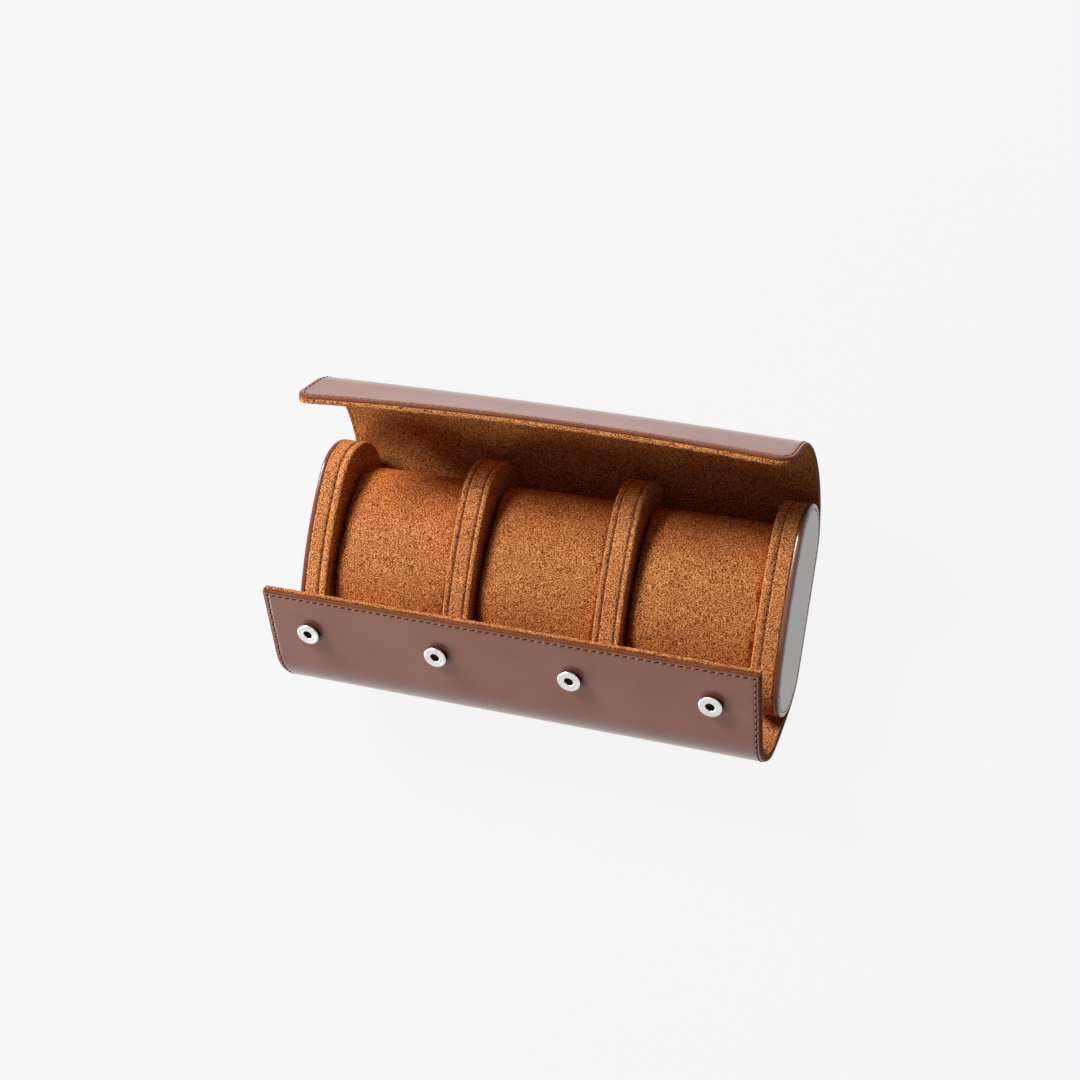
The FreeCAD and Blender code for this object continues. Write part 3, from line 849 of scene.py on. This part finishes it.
def oval_line(half_span, depth, end_round, floor_z, step):
    """Points and outward directions round an oval with a flat back, round ends and a crowned front."""
    reach = half_span - end_round
    rise = depth - end_round
    crown = (reach ** 2 + rise ** 2 - end_round ** 2) / (2 * (rise - end_round))
    end_z = floor_z + end_round
    crown_z = floor_z + depth - crown
    lean = math.atan2(end_z - crown_z, reach)
    arcs = [
        (reach, end_z, end_round, -math.pi / 2, lean),
        (0.0, crown_z, crown, lean, math.pi - lean),
        (-reach, end_z, end_round, math.pi - lean, math.pi * 3 / 2),
    ]
    line = []
    for y, z, radius, first, last in arcs:
        count = round(radius * (last - first) / step)
        for i in range(count):
            turn = first + (last - first) * i / count
            outward = Vector((0, math.cos(turn), math.sin(turn)))
            line.append((Vector((0, y, z)) + outward * radius, outward))
    count = round(2 * reach / step)
    for i in range(count):
        y = -reach + 2 * reach * i / count
        line.append((Vector((0, y, floor_z)), Vector((0, 0, -1))))
    return line


tray_line = oval_line(OVAL_HALF, OVAL_DEPTH, OVAL_ROUND, TRAY_FLOOR, OVAL_STEP)
tray_middle = Vector((0, 0, TRAY_FLOOR + OVAL_DEPTH / 2))


def oval_ring(x, inset, pile):
    """Tray oval drawn in by an inset, at one x; deep insets shrink it evenly to the middle."""
    ring = []
    for point, outward in tray_line:
        place = point - outward * min(inset, FULL_INSET)
        if inset > FULL_INSET:
            share_left = (POLE_INSET - inset) / (POLE_INSET - FULL_INSET)
            place = tray_middle.lerp(place, share_left)
        place = place + Vector((x, 0, 0))
        ring.append(place + outward * pile * noise.noise(place * FUZZ_SCALE))
    return ring


def oval_piece(name, section, closed, pile, *materials):
    """Closed form whose section of (x, inset, finish) runs round the tray's oval."""
    points, faces, finishes = [], [], []
    around = len(tray_line)
    for x, inset, _ in section:
        points += oval_ring(x, inset, pile)
    pairs = list(zip(range(len(section)), range(1, len(section))))
    if closed:
        pairs.append((len(section) - 1, 0))
    for one, two in pairs:
        for i in range(around):
            j = (i + 1) % around
            faces.append((one * around + i, one * around + j, two * around + j, two * around + i))
            finishes.append(section[two][2])
    if not closed:
        for row in (0, len(section) - 1):
            points.append(tray_middle + Vector((section[row][0], 0, 0)))
            for i in range(around):
                faces.append((row * around + i, row * around + (i + 1) % around, len(points) - 1))
                finishes.append(section[row][2])
    return add_piece(name, outward_mesh(name, points, faces, finishes), *materials)


def quarter(x, inset, radius, way, steps, finish):
    """Round corner of a section, from a face at x to an edge at the inset; way is where the face looks."""
    corner = []
    for i in range(steps + 1):
        turn = math.pi / 2 * i / steps
        corner.append(
            (x - way * radius * (1 - math.cos(turn)), inset + radius * (1 - math.sin(turn)), finish)
        )
    return corner


# Painted shade: the leather turned over each disc's edge takes the darker, redder edge colours.
turned_leather_painted_shade = leather_finish("turned_leather_painted_shade", EDGE_PALE, EDGE_DEEP)
thread_painted_reflection, pale_tree, pale_shader = new_material("thread_painted_reflection")
pale_tone = tone_ramp(
    pale_tree, texture_noise(pale_tree, TWIST_SCALE, 2), (0.35, DISC_THREAD_SHADE), (0.65, DISC_THREAD)
)
pale_tree.links.new(pale_tone, pale_shader.inputs["Base Color"])
pale_shader.inputs["Roughness"].default_value = 0.6

for hand, side in (("left", -1), ("right", 1)):
    face_x = side * TRAY_END
    back_x = side * (TRAY_END - DISC_EDGE)
    section = [(face_x, inset, 0) for inset in DISC_RINGS]
    for step in range(-3, 4):
        inset = DISC_STITCH - step * DISC_SEAM_STEP
        section.append((face_x - side * stitched(STITCH_INSET + step * DISC_SEAM_STEP), inset, 0))
    section += quarter(face_x, 0.0, DISC_ROUND, side, 6, 1)
    section += [(back_x + side * DISC_BACK_ROUND, 0.0, 1), (back_x, DISC_BACK_ROUND, 1)]
    section += [(back_x, inset, 1) for inset in DISC_BACK_RINGS]
    disc = oval_piece(hand + "_end_disc", section, False, 0.0, brown_leather, turned_leather_painted_shade)
    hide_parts(hand + "_end_leather", hand + "_end_board")
    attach(disc, "case")
    seam = []
    for point, outward in tray_line + tray_line[:1]:
        place = point - outward * DISC_STITCH
        seam.append((place + Vector((face_x - side * DISC_SEAM_DEPTH, 0, 0)), Vector((side, 0, 0))))
    disc_row = sew(
        hand + "_end_disc_stitches",
        seam,
        STITCH_PITCH,
        DISC_THREAD_RADIUS,
        THREAD_SHARE,
        thread_painted_reflection,
        painted_hole_shade,
        DISC_HOLE_SCALE,
    )
    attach(disc_row, "case")

# Cap rims and dividers: padded boards in suede. A face is turned over the rim as a soft welt and sewn
# to the band round the rim, so each seam lies in a groove with brown stitches.
CAP_THICKNESS = 0.0112
DIVIDER_THICKNESS = 0.0105
CAP_WELT = 0.0032
DIVIDER_WELT = 0.0021
WELT_ROUND = 0.0011
WELT_BULGE = 0.0005
WELT_FOOT = 0.0040
WELT_CREST = 0.0025
FACE_RINGS = (0.018, 0.0150, 0.0120, 0.0080, 0.0060)
FACE_BACK_RINGS = (0.0030, 0.0120, 0.018)
FACE_TURN_IN = 0.0014
BAND_THICKNESS = 0.0012
BAND_DROP = 0.0001
BAND_FALL = 0.0009
BAND_STEPS = 12
SEAM_DEPTH = 0.0007
SUEDE = 0.0008
SUEDE_PILE = 0.00014
SEAM_PITCH = 0.0027
SEAM_RADIUS = 0.00022
SEAM_SHARE = 0.6
SEAM_HOLE_SCALE = 0.6
SEAM_LIFT = 0.0001
# Painted light: a paler copy of the caramel suede, for the lit rims.
RIM_LIT_PALE = (1.000, 0.500, 0.215, 1.0)
RIM_LIT_PLAIN = (0.690, 0.222, 0.064, 1.0)
SEAM_BROWN = (0.380, 0.120, 0.036, 1.0)
SEAM_SHADE = (0.200, 0.060, 0.018, 1.0)

# Painted light: rims, welts, bands and divider faces take the paler suede copy.
rim_suede_painted_light = suede_finish("rim_suede_painted_light", RIM_LIT_PALE, RIM_LIT_PLAIN, SUEDE_DEEP)
seam_thread, seam_tree, seam_shader = new_material("seam_thread")
seam_tone = tone_ramp(
    seam_tree, texture_noise(seam_tree, 2500, 2), (0.35, SEAM_SHADE), (0.65, SEAM_BROWN)
)
seam_tree.links.new(seam_tone, seam_shader.inputs["Base Color"])
seam_shader.inputs["Roughness"].default_value = 0.85


def welted_face(name, face_x, way, welt, *nodes):
    """Suede face with its edge turned over the rim. It looks along way, plus or minus x."""
    seam_x = face_x - way * welt
    section = [(face_x, inset, 0) for inset in FACE_RINGS]
    section += [(face_x + way * WELT_BULGE / 2, WELT_FOOT, 0), (face_x + way * WELT_BULGE, WELT_CREST, 0)]
    section += quarter(face_x + way * WELT_BULGE, 0.0, WELT_ROUND, way, 7, 0)
    run = welt + WELT_BULGE - WELT_ROUND
    for part in (0.25, 0.5, 0.75, 1.0):
        section.append((seam_x + way * run * (1 - part), SEAM_DEPTH * part ** 3, 0))
    section += [(seam_x, BAND_THICKNESS, 0), (face_x - way * SUEDE, FACE_TURN_IN, 0)]
    section += [(face_x - way * SUEDE, inset, 0) for inset in FACE_BACK_RINGS]
    face = oval_piece(name, section, False, SUEDE_PILE, rim_suede_painted_light)
    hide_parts(*nodes)
    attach(face, "case")
    return seam_x


def rim_band(name, one_x, two_x, one_seam, two_seam, node):
    """Suede band between two x, lower where it meets a seam."""
    section = []
    for i in range(BAND_STEPS + 1):
        part = i / BAND_STEPS
        from_one = part * abs(two_x - one_x)
        from_two = abs(two_x - one_x) - from_one
        dip = BAND_DROP
        if one_seam:
            dip += SEAM_DEPTH * max(0.0, 1 - from_one / BAND_FALL) ** 2
        if two_seam:
            dip += SEAM_DEPTH * max(0.0, 1 - from_two / BAND_FALL) ** 2
        section.append((one_x + (two_x - one_x) * part, dip, 0))
    section += [(two_x, BAND_THICKNESS, 0), (one_x, BAND_THICKNESS, 0)]
    band = oval_piece(name, section, True, SUEDE_PILE, rim_suede_painted_light)
    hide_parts(node)
    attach(band, "case")


def seam_row(name, x):
    """Brown stitches at the bottom of a seam."""
    line = []
    for point, outward in tray_line + tray_line[:1]:
        line.append((point - outward * (SEAM_DEPTH - SEAM_LIFT) + Vector((x, 0, 0)), outward))
    row = sew(
        name, line, SEAM_PITCH, SEAM_RADIUS, SEAM_SHARE, seam_thread, painted_hole_shade, SEAM_HOLE_SCALE
    )
    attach(row, "case")


slot_width = (2 * TRAY_END - 2 * CAP_THICKNESS - 2 * DIVIDER_THICKNESS) / 3
for hand, side in (("left", -1), ("right", 1)):
    cap_inner = side * (TRAY_END - CAP_THICKNESS)
    disc_inner = side * (TRAY_END - DISC_EDGE)
    cap_seam = welted_face(
        hand + "_cap_face", cap_inner, -side, CAP_WELT, hand + "_end_suede_face", hand + "_end_pad"
    )
    rim_band(hand + "_cap_band", cap_seam, disc_inner, True, False, hand + "_end_suede_rim")
    seam_row(hand + "_cap_seam", cap_seam)
    near_x = side * slot_width / 2
    far_x = side * (slot_width / 2 + DIVIDER_THICKNESS)
    near_face, far_face = hand + "_divider_inner_face", hand + "_divider_outer_face"
    pad = hand + "_divider_pad"
    near_seam = welted_face(hand + "_divider_near_face", near_x, -side, DIVIDER_WELT, near_face, pad)
    far_seam = welted_face(hand + "_divider_far_face", far_x, side, DIVIDER_WELT, far_face, pad)
    rim_band(hand + "_divider_band", near_seam, far_seam, True, True, hand + "_divider_suede_rim")
    seam_row(hand + "_divider_near_seam", near_seam)
    seam_row(hand + "_divider_far_seam", far_seam)

# Watch pillows: foam blocks in sewn suede covers, loose in their slots. The covers are crowned, fuller
# at the front, and draw in a little at both sides, where a flat side panel is sewn in. Their suede has
# painted shade: paler along the middle and darker and redder towards the front and the rear.
PILLOW_STEP = 0.0022
PILLOW_ROUND = 0.015
PILLOW_SHRINK = 0.0009
PILLOW_VOXEL = 0.0012
PILLOW_PRESSURE = 4.0
PILLOW_FRAMES = 20
PILLOW_SWELL = 0.0012
SIDE_DRAW = 0.0005
SIDE_CROWN = 0.0003
PILLOW_SECTIONS = 25
PILLOW_RISE = 0.0019
PILLOW_REACH = 0.0016
PILLOW_SHIFT = -0.0020
FRONT_FULLNESS = 0.0045
PILLOW_SHADE_REACH = 0.034
PILLOW_PAINTED_SHADE = (0.93, 0.68, 0.50, 1.0)
PILLOW_UNSHADED = (1.0, 1.0, 1.0, 1.0)
PILLOW_SHADE_FRONT_END = 0.38
PILLOW_SHADE_REAR_END = 0.60
pillow_low, pillow_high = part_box("centre_pillow_cover")

pillow_suede = suede_finish("pillow_suede", SUEDE_PALE, SUEDE_PLAIN, SUEDE_DEEP)
pillow_tree = pillow_suede.node_tree
pillow_shader = pillow_tree.nodes["Principled BSDF"]
pillow_place = pillow_tree.nodes.new("ShaderNodeTexCoord")
pillow_axes = pillow_tree.nodes.new("ShaderNodeSeparateXYZ")
pillow_tree.links.new(pillow_place.outputs["Object"], pillow_axes.inputs[0])
front_to_rear = pillow_tree.nodes.new("ShaderNodeMapRange")
front_to_rear.inputs["From Min"].default_value = -PILLOW_SHADE_REACH
front_to_rear.inputs["From Max"].default_value = PILLOW_SHADE_REACH
pillow_tree.links.new(pillow_axes.outputs["Y"], front_to_rear.inputs["Value"])
# Painted shade: the pillow suede is multiplied darker and redder towards its front and rear ends.
painted_shade_tone = tone_ramp(
    pillow_tree,
    front_to_rear.outputs["Result"],
    (0.0, PILLOW_PAINTED_SHADE),
    (PILLOW_SHADE_FRONT_END, PILLOW_UNSHADED),
    (PILLOW_SHADE_REAR_END, PILLOW_UNSHADED),
    (1.0, PILLOW_PAINTED_SHADE),
)
pillow_plain_tone = pillow_shader.inputs["Base Color"].links[0].from_socket
pillow_tree.links.new(
    multiplied(pillow_tree, pillow_plain_tone, painted_shade_tone), pillow_shader.inputs["Base Color"]
)


def pillow_mesh(name, middle_x):
    """Pillow before it swells: ovals that are drawn in towards both sides and lifted at the front."""
    half_width = (pillow_high.x - pillow_low.x) / 2 - PILLOW_SHRINK
    half_span = pillow_high.y + PILLOW_REACH
    depth = pillow_high.z - pillow_low.z + PILLOW_RISE
    oval = oval_line(half_span, depth, PILLOW_ROUND, pillow_low.z, PILLOW_STEP)
    around = len(oval)
    points, faces = [], []
    for i in range(PILLOW_SECTIONS):
        reach = math.sin((2 * i / (PILLOW_SECTIONS - 1) - 1) * math.pi / 2)
        drawn = SIDE_CROWN * reach ** 2
        drawn += (SIDE_DRAW - SIDE_CROWN) * (1 - math.sqrt(max(0.0, 1 - reach ** 8)))
        for point, outward in oval:
            place = point - outward * (drawn + PILLOW_SHRINK)
            forward = max(0.0, -place.y / half_span)
            lift = FRONT_FULLNESS * forward * (place.z - pillow_low.z) / depth
            points.append(place + Vector((middle_x + reach * half_width, PILLOW_SHIFT, lift)))
    for one in range(PILLOW_SECTIONS - 1):
        for i in range(around):
            j = (i + 1) % around
            faces.append(
                (one * around + i, one * around + j, (one + 1) * around + j, (one + 1) * around + i)
            )
    last = (PILLOW_SECTIONS - 1) * around
    faces.append(tuple(range(around)))
    faces.append(tuple(range(last, last + around)))
    return outward_mesh(name, points, faces)


def shown_mesh(piece):
    """Mesh of a piece as its modifiers leave it."""
    return bpy.data.meshes.new_from_object(piece.evaluated_get(bpy.context.evaluated_depsgraph_get()))


def swell(piece):
    """Blows the cover up a little, as foam fills it, and keeps the result."""
    remesh = piece.modifiers.new("even_faces", "REMESH")
    remesh.mode = "VOXEL"
    remesh.voxel_size = PILLOW_VOXEL
    piece.data = shown_mesh(piece)
    piece.modifiers.clear()
    before = [v.co.copy() for v in piece.data.vertices]
    cloth = piece.modifiers.new("cover", "CLOTH")
    cloth.settings.use_pressure = True
    cloth.settings.uniform_pressure_force = PILLOW_PRESSURE
    cloth.settings.effector_weights.gravity = 0
    cloth.point_cache.frame_start = 1
    cloth.point_cache.frame_end = PILLOW_FRAMES
    for number in range(1, PILLOW_FRAMES + 1):
        scene.frame_set(number)
    piece.data = shown_mesh(piece)
    piece.modifiers.clear()
    scene.frame_set(1)
    for vertex, start in zip(piece.data.vertices, before):
        move = vertex.co - start
        if move.length > PILLOW_SWELL:
            vertex.co = start + move.normalized() * PILLOW_SWELL
    smooth = piece.modifiers.new("smooth_cover", "SUBSURF")
    smooth.levels = 1
    smooth.render_levels = 1
    piece.data = shown_mesh(piece)
    piece.modifiers.clear()


for hand in ("left", "centre", "right"):
    low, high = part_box(hand + "_pillow_cover")
    middle_x = (low.x + high.x) / 2
    pillow = add_piece(hand + "_pillow", pillow_mesh(hand + "_pillow", middle_x), pillow_suede)
    swell(pillow)
    facing = [vertex.normal.copy() for vertex in pillow.data.vertices]
    for vertex, outward in zip(pillow.data.vertices, facing):
        place = vertex.co + outward * fuzz(vertex.co)
        place.x = min(max(place.x, low.x), high.x)
        place.z = max(place.z, low.z)
        vertex.co = place
    pillow.data.polygons.foreach_set("use_smooth", [True] * len(pillow.data.polygons))
    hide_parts(hand + "_pillow_cover", hand + "_pillow_foam")
    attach(pillow, hand + "_pillow")
